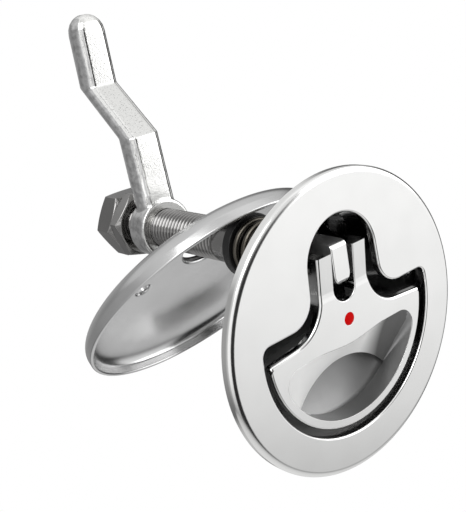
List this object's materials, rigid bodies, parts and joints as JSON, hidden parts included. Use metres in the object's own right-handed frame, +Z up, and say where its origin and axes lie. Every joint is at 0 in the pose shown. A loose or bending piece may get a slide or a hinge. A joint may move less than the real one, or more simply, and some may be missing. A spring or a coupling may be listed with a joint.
{
  "type": "turning lock",
  "caption": "Flush turning lock: round flanged cup, folding pull handle with finger opening, spring-loaded threaded spindle, dished backing plate, locking arm and nuts.",
  "frame": {"origin": "centre of the flange's rear face, which seats on the panel", "axes": "-Y is the front that carries the handle, +Y runs along the spindle into the panel, +Z is up, from the handle's lower end towards the spindle"},
  "size_m": [0.081, 0.0985, 0.118],
  "materials": {
    "cast_steel": "polished cast stainless steel",
    "machined_steel": "machined stainless steel",
    "spring_steel": "drawn spring steel",
    "plate_steel": "pressed and polished stainless sheet",
    "arm_steel": "satin cast stainless steel",
    "black_plastic": "moulded black plastic",
    "seal_rubber": "rubber",
    "red_enamel": "red enamel"
  },
  "bodies": {
    "housing": {"housing": "cast_steel", "seat_washer": "black_plastic", "spring": "spring_steel"},
    "thrust_washer": {"thrust_washer": "black_plastic"},
    "spindle": {"spindle": "machined_steel", "hinge_pin": "machined_steel", "seal_ring": "seal_rubber", "retaining_pin": "machined_steel", "backing_plate": "plate_steel", "arm": "arm_steel", "jam_nut": "machined_steel", "end_nut": "machined_steel"},
    "handle": {"handle": "cast_steel", "red_dot": "red_enamel"}
  },
  "joints": [
    {"name": "spindle_slide", "type": "slide", "parent": "housing", "child": "thrust_washer", "axis": [0, -1, 0], "range_m": [0, 0.0035], "stiffness_N_per_m": 2000, "springref_m": -0.006, "deforming": ["spring"]},
    {"name": "spindle_turn", "type": "hinge", "parent": "thrust_washer", "child": "spindle", "pos_m": [0, 0, 0.0155], "axis": [0, 1, 0], "range_deg": [0, 90]},
    {"name": "handle_lift", "type": "hinge", "parent": "spindle", "child": "handle", "pos_m": [0, 0.0035, 0.0155], "axis": [-1, 0, 0], "range_deg": [0, 111]}
  ],
  "couplings": [
    {"joint": "handle_lift", "follows": "spindle_turn", "ratio": 1.2333}
  ]
}
